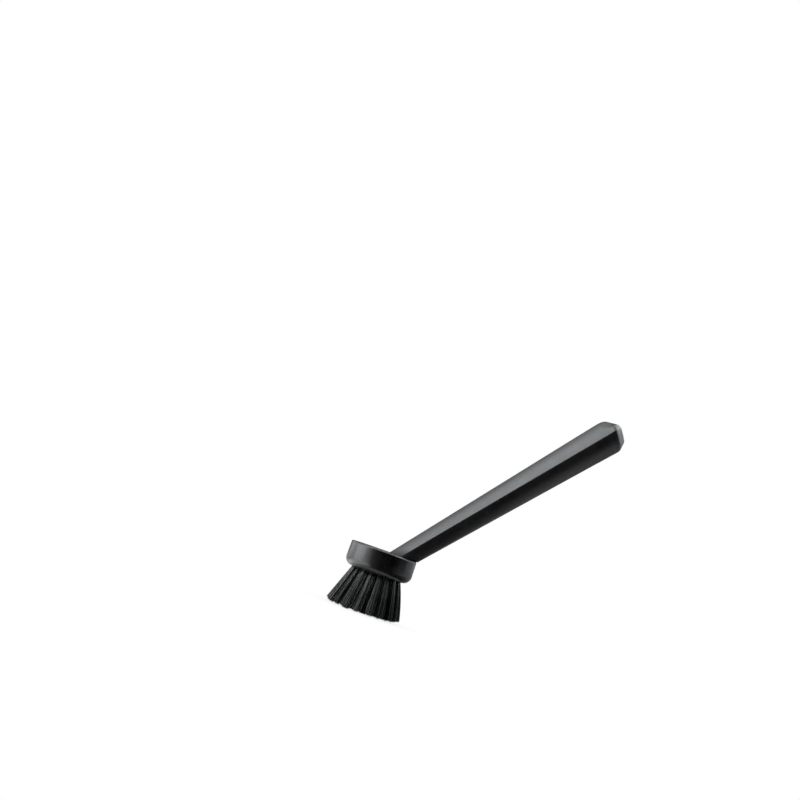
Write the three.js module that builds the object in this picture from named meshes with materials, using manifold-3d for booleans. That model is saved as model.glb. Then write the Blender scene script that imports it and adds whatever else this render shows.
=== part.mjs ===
// A dish brush. A tapered handle stands at a slant on a round head, and its foot plugs into
// a socket in the head's top. A block of splayed bristle tufts, each gripped by a metal
// anchor, is set into the head's mouth from below.
//
// Millimetres, +Z up. The origin is the middle of the bristle tips, on the head's axis.
// The handle leans towards +X, and the brush is alike on both sides of the XZ plane.

import * as THREE from 'three';
import { mergeVertices } from 'three/addons/utils/BufferGeometryUtils.js';
import Module from 'manifold-3d';

const wasm = await Module();
wasm.setup();

// Head: a round cup, open below
const HEAD_RADIUS = 25.6;
const HEAD_HEIGHT = 18;
const RIM_ROUND = 0.8; // rounding of the top edge
const LIP_FILLET = 6; // rounding of the bottom edge
const LIP_LAND = 0.4; // flat ring between that rounding and the mouth
const CEILING_THICKNESS = 2.8;
const SHOULDER_WIDTH = 1.5; // ledge that the tuft block rests against

// Tuft block, set in from below
const BLOCK_RECESS = 0.8; // how far its face lies inside the lip
const BLOCK_BACK = 2.2; // solid block left behind the holes
const FACING_THICKNESS = 1.2; // the slice of the block that carries the strands
const FACING_EDGE = 0.25; // facing left outside the outer tufts

// Bristle tufts, in rings of 6, 12 and 18 about a middle one
const RING_NAMES = ['centre', 'inner', 'middle', 'outer'];
const TUFTS_PER_RING_STEP = 6;
const STRAND_RINGS = 2; // about each tuft's middle strand
const STRANDS_PER_RING_STEP = 3;
const STRAND_RADIUS = 0.3;
const BRISTLE_LENGTH = 31.4;
const TIP_TRIM = 0.5; // cut off the lowest tips, so that they end in one plane
const TUFT_ROOT_RADIUS = 1.45;
const TUFT_TIP_RADIUS = 2.4;
const OUTER_FLARE = THREE.MathUtils.degToRad(18.5); // lean of the outer ring's tufts
const PLUG_HEIGHT = 1.2; // a tuft's folded root, in its hole

// Metal anchors, one across each tuft's fold
const ANCHOR_THICKNESS = 0.45;
const ANCHOR_HEIGHT = 2;
const ANCHOR_CHAMFER = 0.3; // on the two leading corners

// Handle, measured along its own axis from the plane of the head's rim
const HANDLE_ANGLE = THREE.MathUtils.degToRad(49.8); // to the plane of the rim
const HANDLE_LENGTH = 189.75;
const FOOT_HALF_WIDTH = 8.5;
const FOOT_CROWN = 6.9; // from the sharp side edges up to the ridge
const FOOT_DEPTH = 9.95; // from the sharp side edges down to the underside
const END_HALF_WIDTH = 11.5;
const END_CROWN = 11.4;
const END_DEPTH = 15.05;
const CROWN_SHOULDER = 0.3; // 0 gives flat roof faces, 1 gives a square shoulder
const END_SLANT = THREE.MathUtils.degToRad(15); // of the end face, leaning back below
const END_BEVEL = 3.5; // all round the end face
const END_CHAMFER_ANGLE = THREE.MathUtils.degToRad(45); // of the cut over the end face
const END_CHAMFER_LEVEL = 2.1; // above the side edges, where that cut starts

// Spigot under the handle's foot, and its socket in the head
const SPIGOT_LENGTH = 12;
const SPIGOT_WIDTH = 8;
const SPIGOT_CORNER = 2.5;
const SOCKET_WALL = 2;
const SOCKET_FLOOR = 1.4;

// Clearances
const SEAT_GAP = 0.3; // between pieces that rest on or in each other
const FUSE_DEPTH = 0.5; // how far a shape runs into the one it is joined to

// Fineness of the round surfaces
const ROUND_SEGMENTS = 48;
const ARC_STEPS = 5;
const SECTION_STEPS = 8;
const HOLE_SIDES = 8;
const STRAND_SIDES = 3;
const MERGE_DISTANCE = 1e-4; // points nearer than this are one point

// Heights along a tuft, above the block's face
const plugTop = FACING_THICKNESS + SEAT_GAP + PLUG_HEIGHT;
const anchorBottom = plugTop + SEAT_GAP;
const holeTop = anchorBottom + ANCHOR_HEIGHT + SEAT_GAP;

// Levels above the bristle tips
const faceZ = BRISTLE_LENGTH - TIP_TRIM;
const lipZ = faceZ - BLOCK_RECESS;
const rimZ = lipZ + HEAD_HEIGHT;
const facingTopZ = faceZ + FACING_THICKNESS;
const blockBottomZ = facingTopZ + SEAT_GAP;
const blockTopZ = faceZ + holeTop + BLOCK_BACK;
const shoulderZ = blockTopZ + SEAT_GAP;
const socketFloorZ = shoulderZ + SOCKET_FLOOR;
const ceilingZ = rimZ - CEILING_THICKNESS;

// Radii about the head's axis
const mouthRadius = HEAD_RADIUS - LIP_FILLET - LIP_LAND;
const cavityRadius = mouthRadius - SHOULDER_WIDTH;
const blockRadius = mouthRadius - SEAT_GAP;
const outerRingRadius = blockRadius - FACING_EDGE - TUFT_ROOT_RADIUS;
const outerRing = RING_NAMES.length - 1;
const ringStep = outerRingRadius / outerRing;

// The underside of the handle springs from the edge of the rim, and the spigot stands
// under the middle of the foot
const footX = HEAD_RADIUS - FOOT_DEPTH / Math.sin(HANDLE_ANGLE);
const spigotX = footX + (FOOT_DEPTH - FOOT_CROWN) / (2 * Math.sin(HANDLE_ANGLE));

// Long enough for a cutting block to pass right through the brush
const cutReach = 2 * (HANDLE_LENGTH + HEAD_RADIUS);

// Solids from closed geometry, and geometry from solids

function solidOf(geometry) {
  const bare = geometry.clone();
  bare.deleteAttribute('normal');
  bare.deleteAttribute('uv');
  const merged = mergeVertices(bare, MERGE_DISTANCE);
  const vertProperties = Float32Array.from(merged.attributes.position.array);
  const triVerts = Uint32Array.from(merged.index.array);
  return new wasm.Manifold(new wasm.Mesh({ numProp: 3, vertProperties, triVerts }));
}

function geometryOf(solid) {
  const mesh = solid.getMesh();
  const geometry = new THREE.BufferGeometry();
  geometry.setAttribute('position', new THREE.BufferAttribute(mesh.vertProperties, 3));
  geometry.setIndex(new THREE.BufferAttribute(mesh.triVerts, 1));
  geometry.computeVertexNormals();
  return geometry;
}

// A solid through a row of rings, each a list of as many points, with flat ends.
// The rings run counter-clockwise when seen from the last ring.
function loft(rings) {
  const count = rings[0].length;
  const points = rings.flat();
  const index = [];
  for (let r = 0; r + 1 < rings.length; r += 1) {
    for (let i = 0; i < count; i += 1) {
      const a = r * count + i;
      const b = r * count + ((i + 1) % count);
      index.push(a, b, b + count, a, b + count, a + count);
    }
  }
  const last = (rings.length - 1) * count;
  for (let i = 1; i + 1 < count; i += 1) {
    index.push(0, i + 1, i);
    index.push(last, last + i, last + i + 1);
  }
  const geometry = new THREE.BufferGeometry().setFromPoints(points);
  geometry.setIndex(index);
  return geometry;
}

function lathe(profile) {
  const geometry = new THREE.LatheGeometry(profile, ROUND_SEGMENTS);
  return geometry.rotateX(Math.PI / 2);
}

// A flat ring about the head's axis, or a disc where its inner radius is zero
function flatRing(inner, outer, bottom, top) {
  const profile = [
    new THREE.Vector2(inner, bottom),
    new THREE.Vector2(outer, bottom),
    new THREE.Vector2(outer, top),
    new THREE.Vector2(inner, top),
  ];
  if (inner > 0) {
    profile.push(profile[0]);
  }
  return lathe(profile);
}

// Points along a round corner, from one angle to another
function arc(x, y, radius, from, to) {
  return new THREE.EllipseCurve(x, y, radius, radius, from, to).getPoints(ARC_STEPS);
}

// An upright block with an oblong outline, centred on the spigot
function oblong(length, width, corner, bottom, top) {
  const x = length / 2 - corner;
  const y = width / 2 - corner;
  const outline = new THREE.Shape();
  outline.absarc(x, y, corner, 0, Math.PI / 2);
  outline.absarc(-x, y, corner, Math.PI / 2, Math.PI);
  outline.absarc(-x, -y, corner, Math.PI, 1.5 * Math.PI);
  outline.absarc(x, -y, corner, 1.5 * Math.PI, 2 * Math.PI);
  const geometry = new THREE.ExtrudeGeometry(outline, {
    depth: top - bottom,
    bevelEnabled: false,
    curveSegments: ARC_STEPS,
  });
  return geometry.translate(spigotX, 0, bottom);
}

// An upright prism with a regular outline
function prism(radius, sides, bottom, top) {
  const geometry = new THREE.CylinderGeometry(radius, radius, top - bottom, sides);
  return geometry.rotateX(Math.PI / 2).translate(0, 0, (top + bottom) / 2);
}

// A cutting block that fills the space under a level
function spaceBelow(level) {
  const geometry = new THREE.BoxGeometry(cutReach, cutReach, cutReach);
  return geometry.translate(0, 0, level - cutReach / 2);
}

// Head cup

function headCup() {
  const roundX = HEAD_RADIUS - RIM_ROUND;
  const filletX = HEAD_RADIUS - LIP_FILLET;
  const profile = [
    new THREE.Vector2(0, ceilingZ),
    new THREE.Vector2(cavityRadius, ceilingZ),
    new THREE.Vector2(cavityRadius, shoulderZ),
    new THREE.Vector2(mouthRadius, shoulderZ),
    new THREE.Vector2(mouthRadius, lipZ),
    ...arc(filletX, lipZ + LIP_FILLET, LIP_FILLET, -Math.PI / 2, 0),
    ...arc(roundX, rimZ - RIM_ROUND, RIM_ROUND, 0, Math.PI / 2),
    new THREE.Vector2(0, rimZ),
  ];
  const bossMargin = SEAT_GAP + SOCKET_WALL;
  const boss = oblong(
    SPIGOT_LENGTH + 2 * bossMargin,
    SPIGOT_WIDTH + 2 * bossMargin,
    SPIGOT_CORNER + bossMargin,
    shoulderZ,
    ceilingZ + FUSE_DEPTH,
  );
  const socket = oblong(
    SPIGOT_LENGTH + 2 * SEAT_GAP,
    SPIGOT_WIDTH + 2 * SEAT_GAP,
    SPIGOT_CORNER + SEAT_GAP,
    socketFloorZ,
    rimZ + FUSE_DEPTH,
  );
  // The boss runs into the wall beside it, and never comes through it
  const outside = prism(HEAD_RADIUS - FUSE_DEPTH, ROUND_SEGMENTS, lipZ, rimZ);
  const bossInside = solidOf(boss).intersect(solidOf(outside));
  return geometryOf(solidOf(lathe(profile)).add(bossInside).subtract(solidOf(socket)));
}

// Tufts: each has a frame whose origin is its root on the block's face and whose -Z runs
// down the tuft

function tuftsOfRing(ring) {
  const count = ring === 0 ? 1 : TUFTS_PER_RING_STEP * ring;
  const flare = (OUTER_FLARE * ring) / outerRing;
  const tufts = [];
  for (let i = 0; i < count; i += 1) {
    const frame = new THREE.Matrix4().makeRotationZ((2 * Math.PI * i) / count);
    frame.multiply(new THREE.Matrix4().makeTranslation(ringStep * ring, 0, faceZ));
    frame.multiply(new THREE.Matrix4().makeRotationY(-flare));
    tufts.push(frame);
  }
  return tufts;
}

// A strand between two points of its tuft's frame, as a straight prism
function strand(root, tip) {
  const rings = [root, tip].map((centre) => {
    const ring = [];
    for (let i = 0; i < STRAND_SIDES; i += 1) {
      const turn = (-2 * Math.PI * i) / STRAND_SIDES;
      const offset = new THREE.Vector3(Math.cos(turn), Math.sin(turn), 0);
      ring.push(offset.multiplyScalar(STRAND_RADIUS).add(centre));
    }
    return ring;
  });
  return loft(rings);
}

// The strands of one tuft: rings about a middle strand, tight at the root and wider at the tip
function strandsOfTuft() {
  const rootStep = (TUFT_ROOT_RADIUS - STRAND_RADIUS) / STRAND_RINGS;
  const tipStep = (TUFT_TIP_RADIUS - STRAND_RADIUS) / STRAND_RINGS;
  const strands = [];
  for (let ring = 0; ring <= STRAND_RINGS; ring += 1) {
    const count = ring === 0 ? 1 : STRANDS_PER_RING_STEP * ring;
    for (let i = 0; i < count; i += 1) {
      const turn = (2 * Math.PI * i) / count;
      const way = new THREE.Vector3(Math.cos(turn), Math.sin(turn), 0);
      const root = way.clone().multiplyScalar(rootStep * ring);
      const tip = way.clone().multiplyScalar(tipStep * ring);
      root.z = FUSE_DEPTH;
      tip.z = -BRISTLE_LENGTH;
      strands.push(strand(root, tip));
    }
  }
  return strands;
}

// One ring's tufts, with their folded roots, on their slice of the block's face
function bristleRing(ring) {
  const halfGap = SEAT_GAP / 2;
  const inner = ring === 0 ? 0 : ringStep * (ring - 0.5) + halfGap;
  const outer = ring === outerRing ? blockRadius : ringStep * (ring + 0.5) - halfGap;
  const pieces = strandsOfTuft();
  pieces.push(prism(TUFT_ROOT_RADIUS - SEAT_GAP, HOLE_SIDES, FUSE_DEPTH, plugTop));
  let solid = solidOf(flatRing(inner, outer, faceZ, facingTopZ));
  for (const frame of tuftsOfRing(ring)) {
    for (const piece of pieces) {
      solid = solid.add(solidOf(piece.clone().applyMatrix4(frame)));
    }
  }
  return geometryOf(solid.subtract(solidOf(spaceBelow(0))));
}

// Tuft block, with a slanted blind hole over each tuft
function tuftBlock() {
  let solid = solidOf(flatRing(0, blockRadius, blockBottomZ, blockTopZ));
  const hole = prism(TUFT_ROOT_RADIUS, HOLE_SIDES, 0, holeTop);
  for (let ring = 0; ring <= outerRing; ring += 1) {
    for (const frame of tuftsOfRing(ring)) {
      solid = solid.subtract(solidOf(hole.clone().applyMatrix4(frame)));
    }
  }
  return geometryOf(solid);
}

// A flat strip anchor as wide as its hole lets it be, with its two leading corners cut off
function anchor() {
  const half = TUFT_ROOT_RADIUS * Math.cos(Math.PI / HOLE_SIDES) - SEAT_GAP;
  const outline = new THREE.Shape([
    new THREE.Vector2(-half, 0),
    new THREE.Vector2(half, 0),
    new THREE.Vector2(half, ANCHOR_HEIGHT - ANCHOR_CHAMFER),
    new THREE.Vector2(half - ANCHOR_CHAMFER, ANCHOR_HEIGHT),
    new THREE.Vector2(ANCHOR_CHAMFER - half, ANCHOR_HEIGHT),
    new THREE.Vector2(-half, ANCHOR_HEIGHT - ANCHOR_CHAMFER),
  ]);
  const strip = new THREE.ExtrudeGeometry(outline, { depth: ANCHOR_THICKNESS, bevelEnabled: false });
  return strip.translate(0, 0, -ANCHOR_THICKNESS / 2).rotateX(Math.PI / 2);
}

// Handle

// The handle's outline across its axis: a roof-like crown over a rounded underside,
// which meet in a sharp edge on each side
function sectionOutline(halfWidth, crown, depth) {
  const roof = new THREE.QuadraticBezierCurve(
    new THREE.Vector2(halfWidth, 0),
    new THREE.Vector2(halfWidth * CROWN_SHOULDER, crown),
    new THREE.Vector2(0, crown),
  );
  const underside = new THREE.EllipseCurve(0, 0, halfWidth, depth, -Math.PI / 2, 0);
  const right = underside.getPoints(SECTION_STEPS).slice(0, -1);
  right.push(...roof.getPoints(SECTION_STEPS));
  const left = right.slice(1, -1).reverse().map((p) => new THREE.Vector2(-p.x, p.y));
  return [...right, ...left];
}

// The outline at a distance along the axis, leaning with the end face by the given slant
function handleRing(along, inset, slant) {
  const share = along / HANDLE_LENGTH;
  const outline = sectionOutline(
    THREE.MathUtils.lerp(FOOT_HALF_WIDTH, END_HALF_WIDTH, share) - inset,
    THREE.MathUtils.lerp(FOOT_CROWN, END_CROWN, share) - inset,
    THREE.MathUtils.lerp(FOOT_DEPTH, END_DEPTH, share) - inset,
  );
  return outline.map((p) => new THREE.Vector3(along + p.y * Math.tan(slant), p.x, p.y));
}

function handle() {
  // In the handle's own frame X runs along its axis, and the side edges lie in the XY plane.
  // The bar starts far enough down for all of its outline to pass the plane of the rim.
  const belowFoot = (-2 * FOOT_CROWN) / Math.tan(HANDLE_ANGLE);
  const bar = loft([
    handleRing(belowFoot, 0, 0),
    handleRing(HANDLE_LENGTH - END_BEVEL, 0, END_SLANT),
    handleRing(HANDLE_LENGTH, END_BEVEL, END_SLANT),
  ]);
  const endX = HANDLE_LENGTH + END_CHAMFER_LEVEL * Math.tan(END_SLANT);
  const chamfer = spaceBelow(0).rotateY(-Math.PI / 2 - END_CHAMFER_ANGLE);
  chamfer.translate(endX, 0, END_CHAMFER_LEVEL);
  const place = new THREE.Matrix4().makeTranslation(footX, 0, rimZ);
  place.multiply(new THREE.Matrix4().makeRotationY(-HANDLE_ANGLE));
  const shaped = solidOf(bar.applyMatrix4(place)).subtract(solidOf(chamfer.applyMatrix4(place)));

  // The foot is cut off parallel to the rim, and the spigot stands out below it
  const footZ = rimZ + SEAT_GAP;
  const spigot = oblong(
    SPIGOT_LENGTH,
    SPIGOT_WIDTH,
    SPIGOT_CORNER,
    socketFloorZ + SEAT_GAP,
    footZ + FUSE_DEPTH,
  );
  return geometryOf(shaped.subtract(solidOf(spaceBelow(footZ))).add(solidOf(spigot)));
}

// Materials

function plastic(color, roughness) {
  return new THREE.MeshStandardMaterial({ color, roughness, metalness: 0 });
}

function metal(color, roughness) {
  return new THREE.MeshStandardMaterial({ color, roughness, metalness: 1 });
}

const handlePlastic = () => plastic(0x18181a, 0.42);
const headPlastic = () => plastic(0x161618, 0.42);
const blockPlastic = () => plastic(0x121213, 0.6);
const bristleNylon = () => plastic(0x1a1c1b, 0.5);
const anchorBrass = () => metal(0xc9b27a, 0.35);

// Assembly

function addPiece(parent, name, geometry, material) {
  const mesh = new THREE.Mesh(geometry, material);
  mesh.name = name;
  parent.add(mesh);
  return mesh;
}

const brush = new THREE.Group();
addPiece(brush, 'handle', handle(), handlePlastic());

const head = new THREE.Group();
brush.add(head);
addPiece(head, 'head_cup', headCup(), headPlastic());
addPiece(head, 'tuft_block', tuftBlock(), blockPlastic());

RING_NAMES.forEach((ringName, ring) => {
  addPiece(head, `bristles_${ringName}`, bristleRing(ring), bristleNylon());
  tuftsOfRing(ring).forEach((frame, i) => {
    const number = String(i + 1).padStart(2, '0');
    const piece = addPiece(head, `anchor_${ringName}_${number}`, anchor(), anchorBrass());
    frame.decompose(piece.position, piece.quaternion, piece.scale);
    piece.translateZ(anchorBottom);
  });
});

export default brush;
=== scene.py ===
import math

import bmesh
import bpy
import numpy as np
from mathutils import Matrix, Vector


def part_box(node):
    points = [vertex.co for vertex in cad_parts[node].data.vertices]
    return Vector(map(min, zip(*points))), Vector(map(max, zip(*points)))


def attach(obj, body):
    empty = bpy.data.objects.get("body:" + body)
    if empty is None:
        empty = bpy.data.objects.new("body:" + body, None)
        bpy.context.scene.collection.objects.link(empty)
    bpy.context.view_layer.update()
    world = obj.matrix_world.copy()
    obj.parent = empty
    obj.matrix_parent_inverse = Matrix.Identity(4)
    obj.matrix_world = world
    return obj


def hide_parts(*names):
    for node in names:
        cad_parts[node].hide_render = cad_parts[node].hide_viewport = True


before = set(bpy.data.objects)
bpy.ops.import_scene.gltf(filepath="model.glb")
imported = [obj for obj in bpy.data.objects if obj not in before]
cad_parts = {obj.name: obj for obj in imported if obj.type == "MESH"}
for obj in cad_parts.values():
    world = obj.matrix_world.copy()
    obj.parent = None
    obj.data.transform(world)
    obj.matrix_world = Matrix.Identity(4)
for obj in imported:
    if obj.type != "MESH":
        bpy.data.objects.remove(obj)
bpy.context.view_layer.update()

# Lengths are in metres, and MM is a millimetre
MM = 0.001

# Sizes and levels read from the frame
head_low, head_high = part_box("head_cup")
block_low, block_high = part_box("tuft_block")
spigot_bottom_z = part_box("handle")[0].z
head_radius = (head_high.x - head_low.x) / 2
block_radius = (block_high.x - block_low.x) / 2
lip_z = head_low.z
rim_z = head_high.z

# Head cup
RIM_ROUND = 1.1 * MM
RIM_ROUND_STEPS = 8
LIP_FILLET = 6 * MM
LIP_FILLET_STEPS = 16
LIP_EDGE = 0.25 * MM
LIP_EDGE_STEPS = 4
CEILING_THICKNESS = 2.8 * MM
SHOULDER_WIDTH = 1.5 * MM
WALL_DRAFT = 0.2 * MM
SEAT_GAP = 0.3 * MM
SOCKET_WALL = 2 * MM
SOCKET_LEAD = 0.5 * MM
SPIGOT_HALF_LENGTH = 6 * MM
SPIGOT_HALF_WIDTH = 4 * MM
SPIGOT_SQUARENESS = 4.2
SPIGOT_NOSE = 0.8 * MM
CUP_SEGMENTS = 160
OBLONG_SEGMENTS = 64
FLAT_RING_SHARE = 0.5
CUP_CREASE = math.radians(35)

# Block face
BLOCK_RECESS = 0.8 * MM
FACING_THICKNESS = 1.2 * MM
FACING_EDGE = 0.25 * MM
FACING_CREASE = math.radians(30)
COUNTERSINK = 0.35 * MM
CONE_OVERSHOOT = 3 * COUNTERSINK
HOLE_DEPTH = 0.7 * FACING_THICKNESS
HOLE_SEGMENTS = 20

# Tufts, which are trimmed, leaned and bowed a little more on the handle's side
RING_NAMES = ("centre", "inner", "middle", "outer")
TUFTS_PER_RING_STEP = 6
TUFT_ROOT_RADIUS = 1.45 * MM
TUFT_TIP_RADIUS = 2.45 * MM
OUTER_FLARE = math.radians(18.5)
BRISTLE_LENGTH = 31.15 * MM
HANDLE_SIDE_TRIM = 1.0 * MM
HANDLE_SIDE_LEAN = math.radians(4.5)
HANDLE_SIDE_BOW = 0.7 * MM
TUFT_LENGTH_SCATTER = 0.35 * MM
TUFT_LEAN_SCATTER = math.radians(0.6)

# Filaments of a tuft
FILAMENTS_PER_TUFT = 80
STRAYS_PER_TUFT = 2
STRAY_SPREAD = 1.4
STRAY_TRIM = 1.5 * MM
FILAMENT_ROOT_DEPTH = 0.5 * FACING_THICKNESS
FILAMENT_ROOT_RADIUS = 0.14 * MM
FILAMENT_TIP_RADIUS = 0.19 * MM
FILAMENT_SIDES = 5
FILAMENT_STATIONS = 7
FILAMENT_BEND = 0.12 * MM
FILAMENT_CREASE = math.radians(80)
GOLDEN_ANGLE = math.pi * (3 - math.sqrt(5))
TURN_SCATTER = 0.15
TIP_SCATTER = 0.1 * MM
LENGTH_SCATTER = 0.45 * MM
TIP_CLEARANCE = 0.02 * MM
SEED = 7

# Handle, measured along its own axis from the plane of the rim
HANDLE_ANGLE = math.radians(49.8)
HANDLE_LENGTH = 189.75 * MM
FOOT_HALF_WIDTH = 8.5 * MM
FOOT_CROWN = 6.9 * MM
FOOT_DEPTH = 9.95 * MM
FOOT_SEAM = 0.06 * MM
END_HALF_WIDTH = 11.5 * MM
END_CROWN = 11.4 * MM
END_DEPTH = 15.05 * MM
CROWN_SHOULDER = 0.3
HANDLE_CREASE = math.radians(28)

# The side edge's small rounding starts at this angle on the underside and this share of the roof
EDGE_ANGLE = 0.03
EDGE_SHARE = 0.016

# Rings of the handle lean over to the slant of the end face between these stations
END_SLANT = math.radians(15)
SLANT_START = 152 * MM
SLANT_END = 178 * MM

# Handle end: a chamfer that falls away to both hips, over a rounded nose
CHAMFER_SUM = 192.46 * MM
CHAMFER_REACH = 0.3
CHAMFER_LEAST_REACH = 1.2 * MM
HIP_TILT = 1.1
HIP_ROUND = 1 * MM
HIP_START = 176.6 * MM
NOSE_START = 187.35 * MM
NOSE_DROP = 4.4 * MM

# Bevel round the end face, of which the underside takes its own share
BEVEL_START = 184.6 * MM
BEVEL_INSET = 5.0 * MM
BEVEL_ROUND = 1.7 * MM
BEVEL_ROUND_STEPS = 7
BOTTOM_INSET = 0.86
END_ROUND = 0.6 * MM
END_FACE_SHARES = (0.25, 0.5, 0.75)

# Spacing of the handle's rings and of the points round them
FIRST_STATION = 16 * MM
STRAIGHT_STEP = 7 * MM
END_STEP = 0.7 * MM
UNDER_STEPS = 24
EDGE_STEPS = 5
ROOF_STEPS = 20

# Moulded plastic
BLACK = (0.003, 0.003, 0.0032, 1)
SOFT_BLACK = (0.007, 0.007, 0.0075, 1)
GREY_BLACK = (0.011, 0.011, 0.0115, 1)
RUBBED = (0.04, 0.04, 0.042, 1)
MOTTLE_SIZE = 9 * MM
MOTTLE_DETAIL = 5
MOTTLE_SPAN = (0.35, 0.65)
SATIN_SPAN = (0.3, 0.7)
GRAIN_SIZE = 0.22 * MM
GRAIN_DETAIL = 3
GRAIN_STRENGTH = 0.2
RUB_SIZE = 2.5 * MM
RUB_DETAIL = 4
RUB_REACH = 0.7 * MM
EDGE_SAMPLES = 4
EDGE_AGREEMENT = 0.93
SEAM_REACH = 14 * MM
SEAM_ROUGHNESS = 0.85

# Bristle nylon, from each strand's tone and the share of the way to its tip
NYLON_DARK = (0.0016, 0.002, 0.0019, 1)
NYLON_LIGHT = (0.0072, 0.009, 0.0083, 1)
NYLON_TIP = (0.024, 0.03, 0.028, 1)
NYLON_TINT = (0.958, 1, 0.953, 1)
NYLON_ROUGHNESS = (0.2, 0.34)
NYLON_GLOSS = (0.15, 0.9)
# Painted highlight: the roots' gloss is raised this many times over, fading out along this share of the
# length
ROOT_HIGHLIGHT_GAIN = 1.9
ROOT_HIGHLIGHT_SPAN = (0.15, 0.6)
TIP_START = 0.85
TIP_PALENESS = 0.35
DRAWN_SIZE = 0.12 * MM
DRAWN_DETAIL = 2
DRAWN_STRETCH = (1, 1, 0.1)
DRAWN_STRENGTH = 0.15
DRAWN_DEPTH = 0.02 * MM

# Anchor brass
BRASS = (0.60, 0.45, 0.20, 1)
BRASS_TARNISHED = (0.32, 0.22, 0.10, 1)
BRASS_EDGE = (0.75, 0.60, 0.32, 1)
BRASS_EDGE_REACH = 0.1 * MM
BRASS_ROUGHNESS = (0.25, 0.5)
TARNISH_SIZE = 0.8 * MM
TARNISH_DETAIL = 4
TARNISH_SPAN = (0.4, 0.65)
LINE_SIZE = 0.3 * MM
LINE_DETAIL = 3
LINE_STRETCH = (8, 8, 0.5)
LINE_SPAN = (0.3, 0.7)
LINE_STRENGTH = 0.3
LINE_DEPTH = 0.02 * MM

# Ranges and sockets of the material nodes
UNIT = (0, 1)
MIX_SHARE, MIX_FIRST, MIX_SECOND, MIX_RESULT = 0, 6, 7, 2

# Photograph and view
PHOTO_SIZE = 800
RIM_CENTRE_PX = (384.5, 550.85)
HEAD_RADIUS_PX = 34.36
VIEW_ELEVATION = math.radians(1.2)
VIEW_ROLL = math.radians(19.6)
VIEW_DISTANCE = 1.2
SENSOR_WIDTH_MM = 36

# Floor and its shadow
WHITE = (1, 1, 1, 1)
FLOOR_SIZE = 8
FLOOR_Z = -0.2 * MM
FLOOR_PAPER = (0.82, 0.82, 0.82, 1)
SHADOW_REACH = 30 * MM
SHADOW_DEPTH = 0.8
SHADOW_FADE = (0.06, 0.12)
SHADOW_SAMPLES = 16

# Lights
WORLD_LIGHT = 0.5
COOL_WHITE = (0.945, 0.995, 1.035)
ROOM_LIGHT_PLACE = (-0.83, -0.23, 0.514)
ROOM_LIGHT_AIM = (0.03, 0, 0.06)
PANEL_DISTANCE = 0.9
PANEL_TOP = 1.8
KEY_LOW_TOP = 0.35
KEY_BACK_TOP = 0.4
HEAD_AIM = (0, 0, 0.05)
RIM_LIGHT_PLACE = (0.41, 0.26, 0.95)
OVER_LIGHT_PLACE = (-0.1, 0, 1.3)
OVER_LIGHT_AIM = (0.1, 0, 0.15)

# Cards that stand round the brush, and one on the table with a hollow for the brush
CARD_DISTANCE = 1.45
CARD_HEIGHT = 1.5
BLACK_CARD = 0.01
GREY_CARD = 0.1
PALE_CARD = 0.5
TABLE_CARD_Z = 1 * MM
TABLE_CARD_LEFT = -1.0
TABLE_CARD_RIGHT = 2.0
TABLE_CARD_FRONT = -CARD_DISTANCE
TABLE_CARD_REAR = 1.2
TABLE_CARD_HOLLOW = ((0.02, 0.05), (0.04, 0), (0.02, -0.045), (-0.03, -0.06))
# Painted shade on the table card, seen only in the gloss: black by the brush, paler to the right, dimmer
# far back
TABLE_CARD_WAY = (1, 1, 0)
TABLE_CARD_SPAN = (0, 0.3)
TABLE_CARD_TONES = (BLACK_CARD, 0.95)
TABLE_CARD_FALL_SPAN = (0.1, 0.4)
TABLE_CARD_FALL = (1, 0.3)

# Levels and radii that follow
mouth_radius = block_radius + SEAT_GAP
cavity_radius = mouth_radius - SHOULDER_WIDTH
shoulder_z = block_high.z + SEAT_GAP
ceiling_z = rim_z - CEILING_THICKNESS
face_z = lip_z + BLOCK_RECESS
facing_top_z = face_z + FACING_THICKNESS
socket_floor_z = spigot_bottom_z - SEAT_GAP
outer_ring_radius = block_radius - FACING_EDGE - TUFT_ROOT_RADIUS
outer_ring = len(RING_NAMES) - 1
ring_step = outer_ring_radius / outer_ring
foot_x = head_radius - FOOT_DEPTH / math.sin(HANDLE_ANGLE)
spigot_x = foot_x + (FOOT_DEPTH - FOOT_CROWN) / (2 * math.sin(HANDLE_ANGLE))
station_shares = np.linspace(0, 1, FILAMENT_STATIONS)


# Curves

def mix(a, b, share):
    return a + (b - a) * share


def smooth_step(low, high, value):
    share = np.clip((value - low) / (high - low), 0, 1)
    return share * share * (3 - 2 * share)


def smooth_min(a, b, reach):
    """The lesser of two values, rounded off where they lie within reach of each other."""
    share = np.clip(1 - np.abs(a - b) / reach, 0, 1)
    return np.minimum(a, b) - share * share * reach / 4


def bezier(start, middle, end, shares):
    t = np.asarray(shares)[:, None]
    start, middle, end = (np.asarray(p, float) for p in (start, middle, end))
    return (1 - t) ** 2 * start + 2 * t * (1 - t) * middle + t ** 2 * end


def arc(centre, radius, start, end, steps):
    angles = np.linspace(start, end, steps + 1)
    return [(centre[0] + radius * math.cos(a), centre[1] + radius * math.sin(a)) for a in angles]


def full_turn(count):
    return np.linspace(0, 2 * math.pi, count, endpoint=False)


def circle(radius, z, count):
    return np.array([(radius * math.cos(t), radius * math.sin(t), z) for t in full_turn(count)])


def rounded_path(corners, reaches, steps):
    """A path through the corners, with each inner one rounded off within its own reach."""
    corners = [np.array(corner, float) for corner in corners]
    path = [corners[0]]
    for before, corner, after, reach in zip(corners, corners[1:], corners[2:], reaches):
        back = (before - corner) / np.linalg.norm(before - corner)
        on = (after - corner) / np.linalg.norm(after - corner)
        path += list(bezier(corner + back * reach, corner, corner + on * reach, np.linspace(0, 1, steps)))
    return path + [corners[-1]]


def subdivided(path, longest):
    """The path with points added, so that no step is longer than the longest."""
    fine = [path[0]]
    for start, end in zip(path, path[1:]):
        steps = math.ceil(np.linalg.norm(end - start) / longest)
        fine += [mix(start, end, (step + 1) / steps) for step in range(steps)]
    return fine


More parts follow.
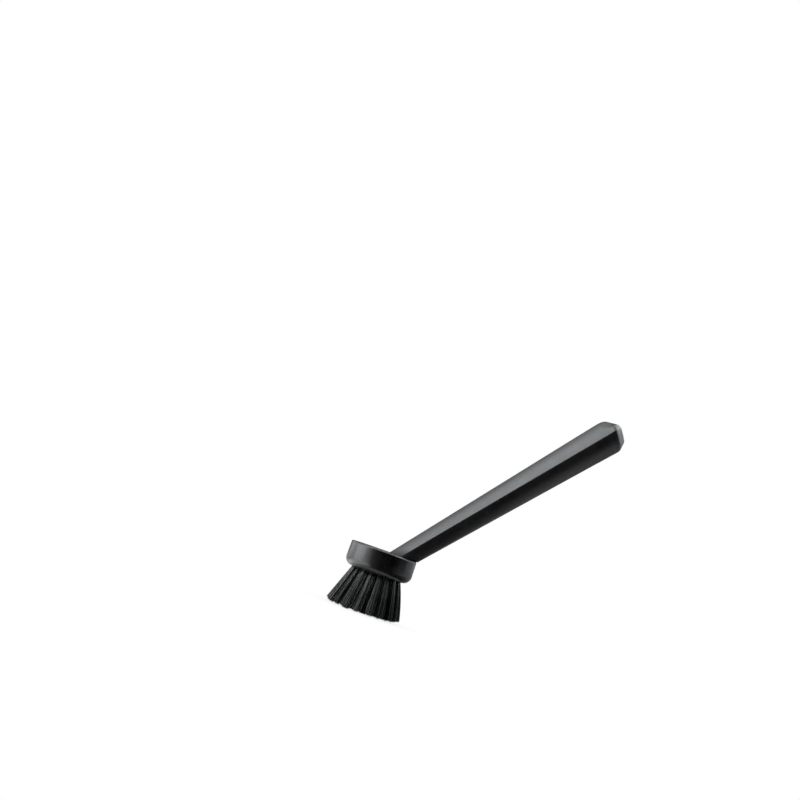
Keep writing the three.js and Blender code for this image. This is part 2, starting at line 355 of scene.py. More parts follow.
def transformed(matrix, points):
    m = np.array(matrix)
    return points @ m[:3, :3].T + m[:3, 3]


# Meshes

def make_object(name, points, faces, crease):
    """A smooth-shaded mesh object, with edges left crisp where they turn by more than the crease angle."""
    mesh = bpy.data.meshes.new(name)
    mesh.from_pydata([tuple(p) for p in points], [], faces)
    work = bmesh.new()
    work.from_mesh(mesh)
    bmesh.ops.recalc_face_normals(work, faces=work.faces)
    work.to_mesh(mesh)
    work.free()
    piece = bpy.data.objects.new(name, mesh)
    bpy.context.scene.collection.objects.link(piece)
    shade(piece, crease)
    return piece


def shade(piece, crease):
    piece.data.shade_smooth()
    piece.data.set_sharp_from_angle(angle=crease)


def tube_faces(first, count, rings):
    """Quads between rings of count points each, numbered on from first."""
    faces = []
    for r in range(rings - 1):
        for i in range(count):
            a = first + r * count + i
            b = first + r * count + (i + 1) % count
            faces.append((a, b, b + count, a + count))
    return faces


def rod_faces(first, count, rings):
    """The faces of a tube with flat ends, numbered on from first."""
    last = first + (rings - 1) * count
    ends = [tuple(range(start, start + count)) for start in (first, last)]
    return tube_faces(first, count, rings) + ends


def capped_tube(name, rings, crease):
    """A closed tube through the rings, with a fan to a middle point at each end."""
    count = len(rings[0])
    points = np.concatenate(rings)
    faces = tube_faces(0, count, len(rings))
    for ring_start, ring in ((0, rings[0]), (len(points) - count, rings[-1])):
        middle = len(points)
        points = np.concatenate((points, [np.mean(ring, axis=0)]))
        faces += [(ring_start + i, ring_start + (i + 1) % count, middle) for i in range(count)]
    return make_object(name, points, faces, crease)


def lathe(name, profile, segments, crease):
    """A solid of revolution. Its profile starts and ends on the Z axis, where fans close it."""
    return capped_tube(name, [circle(r, z, segments) for r, z in profile[1:-1]], crease)


def combine(piece, tool, operation, crease):
    """Joins or cuts piece with tool, which is used up."""
    modifier = piece.modifiers.new(operation.title(), "BOOLEAN")
    modifier.object = tool
    modifier.operation = operation
    modifier.solver = "EXACT"
    made = piece.evaluated_get(bpy.context.evaluated_depsgraph_get())
    mesh = bpy.data.meshes.new_from_object(made)
    piece.modifiers.clear()
    piece.data = mesh
    bpy.data.objects.remove(tool)
    shade(piece, crease)


# Spigot and socket

def oblong_reach(along, across, half_length, half_width):
    """How far a rounded oblong reaches from its middle in a direction."""
    power = SPIGOT_SQUARENESS
    return (np.abs(along / half_length) ** power + np.abs(across / half_width) ** power) ** (-1 / power)


def oblong_ring(margin, z):
    """A rounded oblong about the spigot's axis, larger than the spigot by margin."""
    turns = full_turn(OBLONG_SEGMENTS)
    along, across = np.cos(turns), np.sin(turns)
    reach = oblong_reach(along, across, SPIGOT_HALF_LENGTH + margin, SPIGOT_HALF_WIDTH + margin)
    return np.stack((spigot_x + reach * along, reach * across, np.full(OBLONG_SEGMENTS, z)), axis=1)


# Head cup

def cup_profile():
    """The cup's outline, from the axis under its ceiling, round by the lip, to the axis on top."""
    quarter = math.pi / 2
    edge_centre = (mouth_radius + LIP_EDGE, lip_z + LIP_EDGE)
    fillet_centre = (head_radius - LIP_FILLET, lip_z + LIP_FILLET)
    rim_centre = (head_radius - WALL_DRAFT - RIM_ROUND, rim_z - RIM_ROUND)
    profile = [(0, ceiling_z), (cavity_radius * FLAT_RING_SHARE, ceiling_z), (cavity_radius, ceiling_z)]
    profile += [(cavity_radius, shoulder_z), (mouth_radius, shoulder_z)]
    profile += arc(edge_centre, LIP_EDGE, 2 * quarter, 3 * quarter, LIP_EDGE_STEPS)
    profile += arc(fillet_centre, LIP_FILLET, -quarter, 0, LIP_FILLET_STEPS)
    profile += arc(rim_centre, RIM_ROUND, 0, quarter, RIM_ROUND_STEPS)
    return profile + [(head_radius * FLAT_RING_SHARE, rim_z), (0, rim_z)]


def make_head_cup():
    """The cup, with a boss under its ceiling and a socket for the spigot in the boss."""
    cup = lathe("head_cup_shell", cup_profile(), CUP_SEGMENTS, CUP_CREASE)
    boss_margin = SEAT_GAP + SOCKET_WALL
    boss_rings = [oblong_ring(boss_margin, shoulder_z), oblong_ring(boss_margin, ceiling_z + SEAT_GAP)]
    combine(cup, capped_tube("boss", boss_rings, CUP_CREASE), "UNION", CUP_CREASE)
    socket_rings = [
        oblong_ring(SEAT_GAP, socket_floor_z),
        oblong_ring(SEAT_GAP, rim_z - SOCKET_LEAD),
        oblong_ring(SEAT_GAP + SOCKET_LEAD, rim_z),
        oblong_ring(SEAT_GAP + SOCKET_LEAD, rim_z + SOCKET_LEAD),
    ]
    combine(cup, capped_tube("socket", socket_rings, CUP_CREASE), "DIFFERENCE", CUP_CREASE)
    return cup


# Handle

def section(share, inset):
    """The outline across the handle, as rows of (across, up), from the bottom round by the +Y side."""
    width = mix(FOOT_HALF_WIDTH, END_HALF_WIDTH, share) - inset
    crown = mix(FOOT_CROWN, END_CROWN, share) - inset
    depth = mix(FOOT_DEPTH, END_DEPTH, share) - inset * BOTTOM_INSET
    angles = np.linspace(-math.pi / 2, -EDGE_ANGLE, UNDER_STEPS)
    underside = np.stack((width * np.cos(angles), depth * np.sin(angles)), axis=1)
    roof_shares = np.linspace(EDGE_SHARE, 1, ROOF_STEPS)
    roof = bezier((width, 0), (width * CROWN_SHOULDER, crown), (0, crown), roof_shares)
    edge_shares = np.linspace(0, 1, EDGE_STEPS + 2)[1:-1]
    edge = bezier(underside[-1], (width, 0), roof[0], edge_shares)
    right = np.concatenate((underside, edge, roof))
    left = right[-2:0:-1] * (-1, 1)
    return np.concatenate((right, left))


def handle_place(along, across, up):
    """Points of the handle's own frame, in the brush's frame."""
    cosine, sine = math.cos(HANDLE_ANGLE), math.sin(HANDLE_ANGLE)
    x = foot_x + along * cosine - up * sine
    z = rim_z + along * sine + up * cosine
    return np.stack((x, across, z), axis=1)


def end_lean(station):
    """How far a ring leans with the end face, as a slope."""
    return math.tan(END_SLANT) * smooth_step(SLANT_START, SLANT_END, station)


def end_ceiling(station, across):
    """The most that the handle may rise near its end, where a chamfer and a rounded nose cut it off."""
    nose_share = np.clip((station - NOSE_START) / (HANDLE_LENGTH - NOSE_START), 0, 1)
    nose_drop = NOSE_DROP * (1 - np.sqrt(1 - nose_share ** 2))
    hip_share = np.clip((HANDLE_LENGTH - station) / (HANDLE_LENGTH - HIP_START), 0, 1)
    hip_drop = HIP_TILT * hip_share * (np.sqrt(across ** 2 + HIP_ROUND ** 2) - HIP_ROUND)
    return (CHAMFER_SUM - station - hip_drop) / (1 + end_lean(station)) - nose_drop


def handle_ring(station, inset):
    """A ring round the handle, as its distances along, across and up in the handle's own frame."""
    outline = section(station / HANDLE_LENGTH, inset)
    across = outline[:, 0]
    ceiling = end_ceiling(station, across)
    reach = np.maximum(CHAMFER_REACH * ceiling, CHAMFER_LEAST_REACH)
    up = smooth_min(outline[:, 1], ceiling, reach)
    underside = outline[:UNDER_STEPS]
    widest = np.interp(up, underside[:, 1], underside[:, 0])
    return station + up * end_lean(station), np.clip(across, -widest, widest), up


def foot_ring(foot_z):
    """The ring where the handle's sides meet the level of its foot."""
    cosine, sine = math.cos(HANDLE_ANGLE), math.sin(HANDLE_ANGLE)
    at_foot, at_end = section(0, 0), section(1, 0)
    rise = (at_end - at_foot) / HANDLE_LENGTH
    along = (foot_z - rim_z - at_foot[:, 1] * cosine) / (sine + rise[:, 1] * cosine)
    outline = at_foot + rise * along[:, None]
    return handle_place(along, outline[:, 0], outline[:, 1])


def spigot_rings(foot):
    """Rings up the spigot, from its nose to its root, in line with the foot's own ring."""
    away = foot[:, :2] - (spigot_x, 0)
    away /= np.linalg.norm(away, axis=1)[:, None]
    levels = ((SPIGOT_NOSE, spigot_bottom_z), (0, spigot_bottom_z + SPIGOT_NOSE), (0, foot[0, 2]))
    rings = []
    for shrink, z in levels:
        half_length, half_width = SPIGOT_HALF_LENGTH - shrink, SPIGOT_HALF_WIDTH - shrink
        reach = oblong_reach(away[:, 0], away[:, 1], half_length, half_width)
        flat = away * reach[:, None] + (spigot_x, 0)
        rings.append(np.column_stack((flat, np.full(len(flat), z))))
    return rings


def handle_stations():
    """Pairs of distance along the handle and inset, from above the foot to the end face."""
    straight = subdivided([np.array((FIRST_STATION, 0)), np.array((SLANT_START, 0))], STRAIGHT_STEP)
    corners = [(SLANT_START, 0), (BEVEL_START, 0), (HANDLE_LENGTH, BEVEL_INSET)]
    corners.append((HANDLE_LENGTH, BEVEL_INSET + 2 * END_ROUND))
    path = rounded_path(corners, (BEVEL_ROUND, END_ROUND), BEVEL_ROUND_STEPS)
    return straight + subdivided(path, END_STEP)[1:]


def make_handle():
    """The handle in one skin, from the spigot's nose to the middle of the end face."""
    foot = foot_ring(rim_z + FOOT_SEAM)
    rings = spigot_rings(foot) + [foot]
    for station, inset in handle_stations():
        rings.append(handle_place(*handle_ring(station, inset)))
    last = rings[-1]
    middle = last.mean(axis=0)
    rings += [mix(last, middle, share) for share in END_FACE_SHARES]
    return capped_tube("handle_body", rings, HANDLE_CREASE)


# Block face

def tuft_frames(ring):
    """Each tuft's frame: its origin is the tuft's root on the block's face, and -Z runs down the tuft."""
    count = 1 if ring == 0 else TUFTS_PER_RING_STEP * ring
    flare = OUTER_FLARE * ring / outer_ring
    frames = []
    for i in range(count):
        turn = Matrix.Rotation(2 * math.pi * i / count, 4, "Z")
        out = Matrix.Translation((ring_step * ring, 0, face_z))
        frames.append(turn @ out @ Matrix.Rotation(-flare, 4, "Y"))
    return frames


def facing_profile():
    """The outline of the block's face, a thin disc with its lower edge taken off."""
    return [
        (0, face_z),
        (block_radius * FLAT_RING_SHARE, face_z),
        (block_radius - FACING_EDGE / 2, face_z),
        (block_radius, face_z + FACING_EDGE / 2),
        (block_radius, facing_top_z),
        (block_radius * FLAT_RING_SHARE, facing_top_z),
        (0, facing_top_z),
    ]


def make_block_face():
    """The block's face, with a countersunk hole round each tuft."""
    face = lathe("block_face", facing_profile(), CUP_SEGMENTS, FACING_CREASE)
    levels = ((-CONE_OVERSHOOT, COUNTERSINK + CONE_OVERSHOOT), (COUNTERSINK, 0), (HOLE_DEPTH, 0))
    points, faces = [], []
    for ring in range(len(RING_NAMES)):
        for tuft in tuft_frames(ring):
            faces += rod_faces(len(points), HOLE_SEGMENTS, len(levels))
            for level, margin in levels:
                edge = circle(TUFT_ROOT_RADIUS + margin, level, HOLE_SEGMENTS)
                points.extend(transformed(tuft, edge))
    holes = make_object("holes", points, faces, FACING_CREASE)
    combine(face, holes, "DIFFERENCE", FACING_CREASE)
    return face


# Tufts

def tuft_set(ring, number, count, draw):
    """One tuft's length, its lean from its own axis and its outward bow. By the handle they curve down."""
    ring_share = ring / outer_ring
    side_share = ring_share * max(0, math.cos(2 * math.pi * number / count))
    length = BRISTLE_LENGTH - HANDLE_SIDE_TRIM * side_share
    length += draw.normal(0, TUFT_LENGTH_SCATTER)
    lean = draw.normal(0, TUFT_LEAN_SCATTER, 2) - (HANDLE_SIDE_LEAN * side_share, 0)
    return length, np.tan(lean), HANDLE_SIDE_BOW * side_share


def filament_line(tuft, number, length, lean, bow, draw):
    """The middle line of one filament, from inside its hole to its tip. The last few stray outwards."""
    share = math.sqrt((number + 0.5) / FILAMENTS_PER_TUFT)
    stray = number >= FILAMENTS_PER_TUFT - STRAYS_PER_TUFT
    turn = number * GOLDEN_ANGLE + draw.normal(0, TURN_SCATTER)
    way = np.array((math.cos(turn), math.sin(turn), 0))
    root = way * share * (TUFT_ROOT_RADIUS - FILAMENT_ROOT_RADIUS)
    spread = STRAY_SPREAD if stray else 1
    tip = way * share * spread * TUFT_TIP_RADIUS + np.append(draw.normal(0, TIP_SCATTER, 2), 0)
    length = length + draw.normal(0, LENGTH_SCATTER) - (STRAY_TRIM if stray else 0)
    tip[:2] += lean * length
    root[2] = FILAMENT_ROOT_DEPTH
    tip[2] = -length
    # The bend is taken times t * (1 - t), which is a quarter halfway, so the bow goes in four times
    bend = np.append(draw.normal(0, FILAMENT_BEND, 2) + (4 * bow, 0), 0)
    t = station_shares[:, None]
    line = transformed(tuft, root + (tip - root) * t + bend * t * (1 - t))
    low = TIP_CLEARANCE + FILAMENT_TIP_RADIUS
    if line[-1, 2] < low:
        line = line[0] + (line - line[0]) * (line[0, 2] - low) / (line[0, 2] - line[-1, 2])
    return line


def filament_points(line):
    """The points round one filament, in a ring at each station of its middle line."""
    ahead = (line[-1] - line[0]) / np.linalg.norm(line[-1] - line[0])
    side = np.cross(ahead, (0, 1, 0))
    side /= np.linalg.norm(side)
    other = np.cross(ahead, side)
    turns = full_turn(FILAMENT_SIDES)
    ring = np.outer(np.cos(turns), side) + np.outer(np.sin(turns), other)
    radii = mix(FILAMENT_ROOT_RADIUS, FILAMENT_TIP_RADIUS, station_shares)
    return np.concatenate([centre + ring * radius for centre, radius in zip(line, radii)])


def make_bristles(ring, draw):
    """One ring's tufts, each a splayed bundle of separate filaments with a tone of their own."""
    points, faces, tones, shares = [], [], [], []
    tufts = tuft_frames(ring)
    for tuft_number, tuft in enumerate(tufts):
        length, lean, bow = tuft_set(ring, tuft_number, len(tufts), draw)
        for number in range(FILAMENTS_PER_TUFT):
            line = filament_line(tuft, number, length, lean, bow, draw)
            tone = draw.random()
            faces += rod_faces(len(points), FILAMENT_SIDES, FILAMENT_STATIONS)
            points.extend(filament_points(line))
            tones += [tone] * (FILAMENT_SIDES * FILAMENT_STATIONS)
            shares.extend(np.repeat(station_shares, FILAMENT_SIDES))
    piece = make_object(f"tufts_{RING_NAMES[ring]}", points, faces, FILAMENT_CREASE)
    for name, values in (("strand_tone", tones), ("strand_share", shares)):
        attribute = piece.data.attributes.new(name, "FLOAT", "POINT")
        attribute.data.foreach_set("value", np.array(values, np.float32))
    return piece


# Material nodes

def node(tree, kind, inputs=None, **settings):
    """A new node. Each of inputs is a value for a socket, or an output to link to it."""
    made = tree.nodes.new(kind)
    for name, value in settings.items():
        setattr(made, name, value)
    for socket, value in (inputs or {}).items():
        if isinstance(value, bpy.types.NodeSocket):
            tree.links.new(value, made.inputs[socket])
        else:
            made.inputs[socket].default_value = value
    return made


def new_material(name):
    material = bpy.data.materials.new(name)
    material.use_nodes = True
    tree = material.node_tree
    return material, tree, tree.nodes["Principled BSDF"]


def own_place(tree):
    """The place of a point in its piece's own space."""
    return node(tree, "ShaderNodeTexCoord").outputs["Object"]


def noise(tree, feature, detail, stretch=(1, 1, 1)):
    """Noise in the piece's own space, with features of about the given size."""
    scaled = node(tree, "ShaderNodeMapping", {"Vector": own_place(tree), "Scale": stretch})
    inputs = {"Vector": scaled.outputs[0], "Scale": 1 / feature, "Detail": detail}
    return node(tree, "ShaderNodeTexNoise", inputs).outputs["Fac"]


def ranged(tree, value, span, result):
    """The value carried over from a span to a result, both given by their two ends."""
    inputs = {
        "Value": value,
        "From Min": span[0],
        "From Max": span[1],
        "To Min": result[0],
        "To Max": result[1],
    }
    return node(tree, "ShaderNodeMapRange", inputs).outputs[0]


def reckoned(tree, operation, first, second):
    """What an operation makes of two values."""
    return node(tree, "ShaderNodeMath", {0: first, 1: second}, operation=operation).outputs[0]


def blended(tree, share, first, second):
    inputs = {MIX_SHARE: share, MIX_FIRST: first, MIX_SECOND: second}
    return node(tree, "ShaderNodeMix", inputs, data_type="RGBA").outputs[MIX_RESULT]


def edge_share(tree, radius):
    """0 on open surfaces and up to 1 along edges that turn within the radius."""
    rounded = node(tree, "ShaderNodeBevel", {"Radius": radius}, samples=EDGE_SAMPLES).outputs[0]
    normal = node(tree, "ShaderNodeNewGeometry").outputs["Normal"]
    agreement = node(tree, "ShaderNodeVectorMath", {0: rounded, 1: normal}, operation="DOT_PRODUCT")
    return ranged(tree, agreement.outputs["Value"], (1, EDGE_AGREEMENT), UNIT)


def add_bump(tree, shader, height, strength, depth):
    bump = node(tree, "ShaderNodeBump", {"Height": height, "Strength": strength, "Distance": depth})
    tree.links.new(bump.outputs[0], shader.inputs["Normal"])


def clothe(piece, material):
    piece.data.materials.clear()
    piece.data.materials.append(material)


# Materials

def moulded_plastic(name, dark, light, roughness, spread, grain_depth, seam_reach=0):
    """Satin plastic with a fine grain, faint mottling and rubbed edges, duller near a seam at the rim."""
    material, tree, shader = new_material(name)
    mottle = noise(tree, MOTTLE_SIZE, MOTTLE_DETAIL)
    grain = noise(tree, GRAIN_SIZE, GRAIN_DETAIL)
    wear = reckoned(tree, "MULTIPLY", edge_share(tree, RUB_REACH), noise(tree, RUB_SIZE, RUB_DETAIL))
    base = blended(tree, ranged(tree, mottle, MOTTLE_SPAN, UNIT), dark, light)
    tree.links.new(blended(tree, wear, base, RUBBED), shader.inputs["Base Color"])
    satin = ranged(tree, mottle, SATIN_SPAN, (roughness - spread, roughness + spread))
    if seam_reach:
        height = node(tree, "ShaderNodeSeparateXYZ", {0: own_place(tree)}).outputs["Z"]
        dull = ranged(tree, height, (rim_z, rim_z + seam_reach), (SEAM_ROUGHNESS, 0))
        satin = reckoned(tree, "MAXIMUM", satin, dull)
    tree.links.new(satin, shader.inputs["Roughness"])
    add_bump(tree, shader, grain, GRAIN_STRENGTH, grain_depth)
    return material


def bristle_nylon():
    """Drawn filaments: each of its own tone, glossier towards the root as a painted highlight, and paler at
    the cut tip.
    """
    material, tree, shader = new_material("bristle_nylon")
    tone = node(tree, "ShaderNodeAttribute", attribute_name="strand_tone").outputs["Fac"]
    share = node(tree, "ShaderNodeAttribute", attribute_name="strand_share").outputs["Fac"]
    base = blended(tree, tone, NYLON_DARK, NYLON_LIGHT)
    tips = ranged(tree, share, (TIP_START, 1), (0, TIP_PALENESS))
    tree.links.new(blended(tree, tips, base, NYLON_TIP), shader.inputs["Base Color"])
    tree.links.new(ranged(tree, tone, UNIT, NYLON_ROUGHNESS), shader.inputs["Roughness"])
    gloss = ranged(tree, tone, UNIT, NYLON_GLOSS)
    # Painted highlight: the gloss is raised towards the root
    root_highlight = ranged(tree, share, ROOT_HIGHLIGHT_SPAN, (ROOT_HIGHLIGHT_GAIN, 1))
    tree.links.new(reckoned(tree, "MULTIPLY", gloss, root_highlight), shader.inputs["Specular IOR Level"])
    shader.inputs["Specular Tint"].default_value = NYLON_TINT
    drawn = noise(tree, DRAWN_SIZE, DRAWN_DETAIL, DRAWN_STRETCH)
    add_bump(tree, shader, drawn, DRAWN_STRENGTH, DRAWN_DEPTH)
    return material


def anchor_brass():
    """Cut strip: fine drawing lines, tarnish in patches and brighter edges."""
    material, tree, shader = new_material("anchor_brass")
    shader.inputs["Metallic"].default_value = 1
    lines = noise(tree, LINE_SIZE, LINE_DETAIL, LINE_STRETCH)
    tarnish = noise(tree, TARNISH_SIZE, TARNISH_DETAIL)
    base = blended(tree, ranged(tree, tarnish, TARNISH_SPAN, UNIT), BRASS, BRASS_TARNISHED)
    edges = edge_share(tree, BRASS_EDGE_REACH)
    tree.links.new(blended(tree, edges, base, BRASS_EDGE), shader.inputs["Base Color"])
    tree.links.new(ranged(tree, lines, LINE_SPAN, BRASS_ROUGHNESS), shader.inputs["Roughness"])
    add_bump(tree, shader, lines, LINE_STRENGTH, LINE_DEPTH)
    return material


# World and floor

def background_share(tree):
    """1 for rays that show the background: those from the camera, and by gloss or glass."""
    rays = node(tree, "ShaderNodeLightPath").outputs
    seen = reckoned(tree, "MAXIMUM", rays["Is Camera Ray"], rays["Is Glossy Ray"])
    return reckoned(tree, "MAXIMUM", seen, rays["Is Transmission Ray"])


def make_world():
    world = bpy.data.worlds.new("studio")
    world.use_nodes = True
    tree = world.node_tree
    light = tree.nodes["Background"]
    light.inputs["Color"].default_value = WHITE
    strength = ranged(tree, background_share(tree), UNIT, (WORLD_LIGHT, 1))
    tree.links.new(strength, light.inputs["Strength"])
    bpy.context.scene.world = world


def shadow_tone(tree):
    """1 on the open floor, and less close under the brush."""
    open_sky = node(tree, "ShaderNodeAmbientOcclusion", {"Distance": SHADOW_REACH}, samples=SHADOW_SAMPLES)
    distance = node(tree, "ShaderNodeVectorMath", {0: own_place(tree)}, operation="LENGTH")
    far = ranged(tree, distance.outputs["Value"], SHADOW_FADE, UNIT)
    clear = reckoned(tree, "MAXIMUM", open_sky.outputs["AO"], far)
    return ranged(tree, clear, UNIT, (SHADOW_DEPTH, 1))


def make_floor():
    """A floor that is seen as white with a soft shadow, and lights the brush as paper does."""
    half = FLOOR_SIZE / 2
    corners = [(x * half, y * half, FLOOR_Z) for x, y in ((-1, -1), (1, -1), (1, 1), (-1, 1))]
    floor = make_object("floor", corners, [(0, 1, 2, 3)], math.pi)
    material, tree, shader = new_material("floor_white")
    tree.nodes.remove(shader)
    paper = node(tree, "ShaderNodeBsdfDiffuse", {"Color": FLOOR_PAPER}).outputs[0]
    white = node(tree, "ShaderNodeEmission", {"Color": WHITE, "Strength": shadow_tone(tree)}).outputs[0]
    both = node(tree, "ShaderNodeMixShader", {0: background_share(tree), 1: paper, 2: white}).outputs[0]
    tree.links.new(both, tree.nodes["Material Output"].inputs["Surface"])
    material.cycles.emission_sampling = "NONE"
    clothe(floor, material)


# Lights

def around(degrees, distance, z):
    """A place round the brush. The angle runs to the left from the camera's side."""
    turn = math.radians(degrees)
    return Vector((-distance * math.sin(turn), -distance * math.cos(turn), z))


def make_softbox(name, place, aim, width, height, radiance):
    """An oblong light that faces its aim. The camera doesn't see it."""
    data = bpy.data.lights.new(name, "AREA")
    data.shape = "RECTANGLE"
    data.size = width
    data.size_y = height
    data.energy = radiance * math.pi * width * height
    lamp = bpy.data.objects.new(name, data)
    lamp.location = place
    lamp.rotation_euler = (Vector(aim) - Vector(place)).to_track_quat("-Z", "Y").to_euler()
    lamp.visible_camera = False
    bpy.context.scene.collection.objects.link(lamp)
    return lamp


def make_gloss_light(name, place, aim, width, height, radiance):
    """A softbox that only gloss shows."""
    lamp = make_softbox(name, place, aim, width, height, radiance)
    lamp.visible_diffuse = False
    return lamp


def make_panel(name, first, last, bottom, top, radiance):
    """An upright gloss light between two angles in degrees and two heights, facing the brush."""
    width = 2 * PANEL_DISTANCE * math.tan(math.radians(last - first) / 2)
    level = (bottom + top) / 2
    place = around((first + last) / 2, PANEL_DISTANCE, level)
    panel = make_gloss_light(name, place, (0, 0, level), width, top - bottom, radiance)
    panel.data.color = COOL_WHITE


def make_table_light(name, x, y, width, height, radiance):
    """A gloss light that lies on the table and faces up."""
    overhead = (x, y, PANEL_TOP)
    make_gloss_light(name, (x, y, TABLE_CARD_Z), overhead, width, height, radiance)


def make_room_light():
    """The one soft light that gloss doesn't show."""
    lamp = make_softbox("room_light", ROOM_LIGHT_PLACE, ROOM_LIGHT_AIM, width=1.3, height=1.1, radiance=3.2)
    lamp.visible_glossy = False


def make_key_panels():
    """The bright side, on the left."""
    make_panel("key_front", first=46, last=60, bottom=0, top=PANEL_TOP, radiance=0.8)
    make_panel("key_low", first=60, last=100, bottom=0, top=KEY_LOW_TOP, radiance=4.8)
    make_panel("key_top", first=60, last=90, bottom=KEY_LOW_TOP, top=PANEL_TOP, radiance=4.8)
    make_panel("key_high", first=48, last=70, bottom=0.8, top=1.6, radiance=6.0)
    make_panel("key_back", first=100, last=138, bottom=0, top=KEY_BACK_TOP, radiance=1.4)
    make_panel("key_back_high", first=90, last=138, bottom=KEY_BACK_TOP, top=PANEL_TOP, radiance=0.3)


def make_side_panels():
    """The dimmer side, on the right."""
    make_panel("side_light", first=-140, last=-72, bottom=0.3, top=PANEL_TOP, radiance=1.8)
    make_panel("side_high", first=-140, last=-85, bottom=0.6, top=PANEL_TOP, radiance=2.5)
    make_panel("side_fill", first=-150, last=-95, bottom=0, top=PANEL_TOP, radiance=0.7)


def make_small_lights():
    """Lights for the rim's bright line, the undersides and the top."""
    rim_left_place = around(degrees=127, distance=0.6, z=1.0)
    make_gloss_light("rim_left", rim_left_place, HEAD_AIM, width=0.4, height=0.35, radiance=0.8)
    make_gloss_light("rim_light", RIM_LIGHT_PLACE, HEAD_AIM, width=0.7, height=0.5, radiance=4.2)
    make_table_light("table_glow", x=0.47, y=0.06, width=0.44, height=0.6, radiance=0.45)
    make_table_light("bounce", x=-0.42, y=-0.1, width=0.74, height=0.3, radiance=2.3)
    make_gloss_light("over_light", OVER_LIGHT_PLACE, OVER_LIGHT_AIM, width=0.9, height=0.6, radiance=2)


# Cards

def make_card(name, corners, tone):
    """A card that shades one side or shows in the gloss. The camera doesn't see it."""
    card = make_object(name, corners, [tuple(range(len(corners)))], math.pi)
    material, tree, shader = new_material(name)
    shader.inputs["Base Color"].default_value = (tone, tone, tone, 1)
    shader.inputs["Roughness"].default_value = 1
    shader.inputs["Specular IOR Level"].default_value = 0
    clothe(card, material)
    card.visible_camera = False
    return card


def make_upright_card(name, first, last, tone):
    """A card that stands round the brush between two angles in degrees."""
    feet = [around(angle, CARD_DISTANCE, 0) for angle in (first, last)]
    heads = [around(angle, CARD_DISTANCE, CARD_HEIGHT) for angle in (last, first)]
    make_card(name, feet + heads, tone)


def make_upright_cards():
    make_upright_card("front_card", first=40, last=-55, tone=BLACK_CARD)
    make_upright_card("side_card", first=-55, last=-85, tone=BLACK_CARD)
    make_upright_card("grey_card", first=-85, last=-150, tone=GREY_CARD)
    make_upright_card("back_card", first=140, last=205, tone=PALE_CARD)


def make_table_card():
    """A card on the table with painted shade for the gloss: black by the brush, paler to its right and dim
    far back. Only gloss shows it.
    """
    outline = [(TABLE_CARD_LEFT, TABLE_CARD_FRONT), (TABLE_CARD_RIGHT, TABLE_CARD_FRONT)]
    outline += [(TABLE_CARD_RIGHT, TABLE_CARD_REAR), (0, TABLE_CARD_REAR), *TABLE_CARD_HOLLOW]
    card = make_card("table_card", [(x, y, TABLE_CARD_Z) for x, y in outline], BLACK_CARD)
    card.visible_diffuse = False
    card.visible_shadow = False
    tree = card.data.materials[0].node_tree
    place = own_place(tree)
    along = node(tree, "ShaderNodeVectorMath", {0: place, 1: TABLE_CARD_WAY}, operation="DOT_PRODUCT")
    tone = ranged(tree, along.outputs["Value"], TABLE_CARD_SPAN, TABLE_CARD_TONES)
    depth = node(tree, "ShaderNodeSeparateXYZ", {0: place}).outputs["Y"]
    fall = ranged(tree, depth, TABLE_CARD_FALL_SPAN, TABLE_CARD_FALL)
    colour = tree.nodes["Principled BSDF"].inputs["Base Color"]
    tree.links.new(reckoned(tree, "MULTIPLY", tone, fall), colour)


# Camera

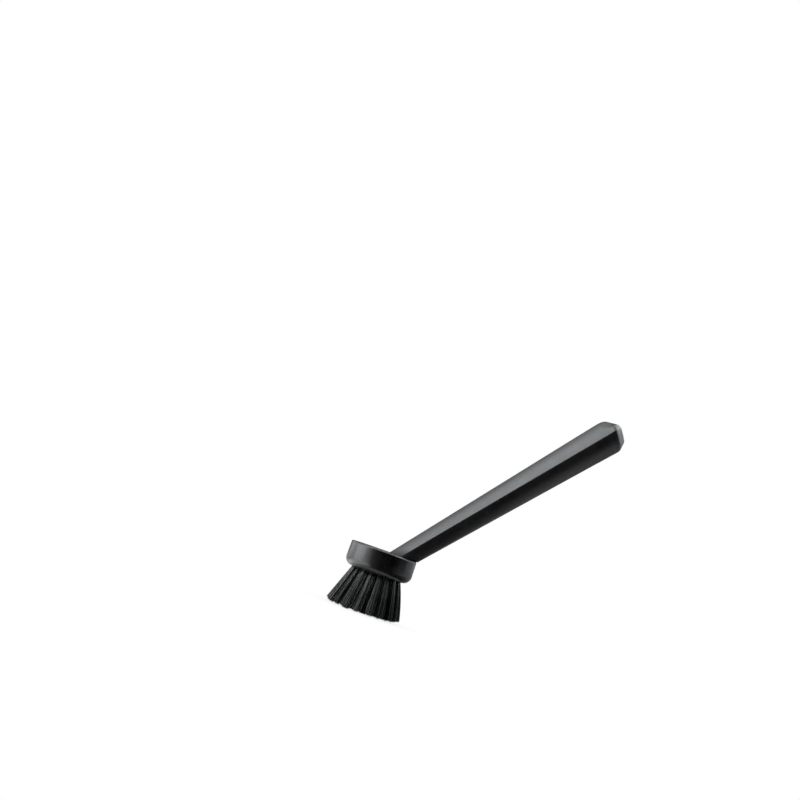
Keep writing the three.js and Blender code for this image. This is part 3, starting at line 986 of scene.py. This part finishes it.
def make_camera():
    """A camera that sees the rim's middle at its place in the photograph, and the brush rolled."""
    focal_px = VIEW_DISTANCE * HEAD_RADIUS_PX / head_radius
    back = Vector((0, -math.cos(VIEW_ELEVATION), math.sin(VIEW_ELEVATION)))
    right = Vector((1, 0, 0))
    middle = PHOTO_SIZE / 2
    rim_right = (RIM_CENTRE_PX[0] - middle) / focal_px
    rim_up = (middle - RIM_CENTRE_PX[1]) / focal_px
    sight = Vector((rim_right, rim_up, -1)).normalized()
    level_right = sight.cross(Vector((0, 1, 0))).normalized()
    level_up = level_right.cross(sight)
    cosine, sine = math.cos(VIEW_ROLL), math.sin(VIEW_ROLL)
    rolled = (sight, level_right * cosine - level_up * sine, level_right * sine + level_up * cosine)
    in_camera = Matrix(rolled).transposed()
    in_frame = Matrix((-back, right, back.cross(right))).transposed()
    data = bpy.data.cameras.new("camera")
    data.sensor_width = SENSOR_WIDTH_MM
    data.lens = focal_px * SENSOR_WIDTH_MM / PHOTO_SIZE
    camera = bpy.data.objects.new("camera", data)
    turn = (in_frame @ in_camera.transposed()).to_4x4()
    camera.matrix_world = Matrix.Translation(Vector((0, 0, rim_z)) + back * VIEW_DISTANCE) @ turn
    bpy.context.scene.collection.objects.link(camera)
    bpy.context.scene.camera = camera


# View and stage
bpy.context.scene.view_settings.view_transform = "Standard"
make_camera()
make_world()
make_floor()
make_room_light()
make_key_panels()
make_side_panels()
make_small_lights()
make_upright_cards()
make_table_card()

# Materials in use
handle_plastic = moulded_plastic(
    "handle_plastic", SOFT_BLACK, GREY_BLACK,
    roughness=0.38, spread=0.03, grain_depth=0.03 * MM, seam_reach=SEAM_REACH,
)
head_plastic = moulded_plastic(
    "head_plastic", BLACK, SOFT_BLACK, roughness=0.28, spread=0.03, grain_depth=0.03 * MM,
)
block_plastic = moulded_plastic(
    "block_plastic", BLACK, SOFT_BLACK, roughness=0.6, spread=0.05, grain_depth=0.05 * MM,
)
nylon = bristle_nylon()
brass = anchor_brass()

# Pieces
handle = make_handle()
clothe(handle, handle_plastic)
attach(handle, "handle")
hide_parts("handle")

cup = make_head_cup()
clothe(cup, head_plastic)
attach(cup, "brush_head")
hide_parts("head_cup")

block_face = make_block_face()
clothe(block_face, block_plastic)
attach(block_face, "brush_head")

draw = np.random.default_rng(SEED)
for ring, ring_name in enumerate(RING_NAMES):
    tufts = make_bristles(ring, draw)
    clothe(tufts, nylon)
    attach(tufts, "brush_head")
    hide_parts(f"bristles_{ring_name}")

# Pieces that carry over from the frame
clothe(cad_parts["tuft_block"], block_plastic)
for name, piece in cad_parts.items():
    if name.startswith("anchor_"):
        clothe(piece, brass)
